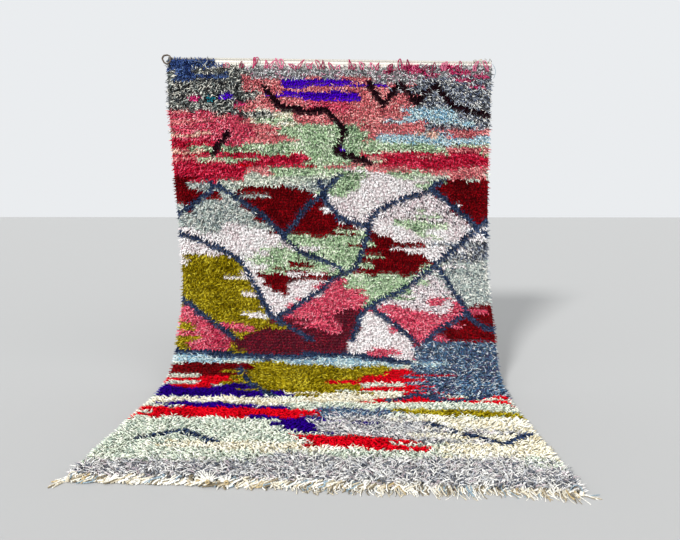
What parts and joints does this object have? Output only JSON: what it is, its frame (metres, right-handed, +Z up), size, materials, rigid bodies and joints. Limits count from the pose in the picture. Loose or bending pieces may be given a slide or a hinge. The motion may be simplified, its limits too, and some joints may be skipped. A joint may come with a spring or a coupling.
{
  "type": "boucherouite rug",
  "caption": "Thick knotted-pile rug on a woven ground, hung by its top edge and sweeping forward to lie on the floor, with hem loops, front fringe and corner tassels.",
  "frame": {"origin": "on the floor under the middle of the rug, on the flat underside of its lying stretch", "axes": "+Z up; the pile faces -Y where the rug hangs; +X runs across the rug to the viewer's right"},
  "size_m": [1.4241, 1.0193, 1.339],
  "materials": {
    "pile": "mixed wool and rag yarn, matte, cut pile",
    "ground": "flat weave of cotton and wool, matte",
    "warp": "undyed cream yarn, matte",
    "loop_yarn": "raspberry wool yarn, matte",
    "corner_cord": "twisted brown-grey cord, matte"
  },
  "bodies": {
    "root": {"rug_field": "pile", "locks_left_hanging": "pile", "locks_left_sweep": "pile", "locks_left_lying": "pile", "locks_right_hanging": "pile", "locks_right_sweep": "pile", "locks_right_lying": "pile", "hem_loops": "loop_yarn", "fringe_left": "warp", "fringe_right": "warp", "corner_tassel_left": "warp", "corner_tassel_right": "warp", "corner_loop": "corner_cord"}
  },
  "joints": []
}
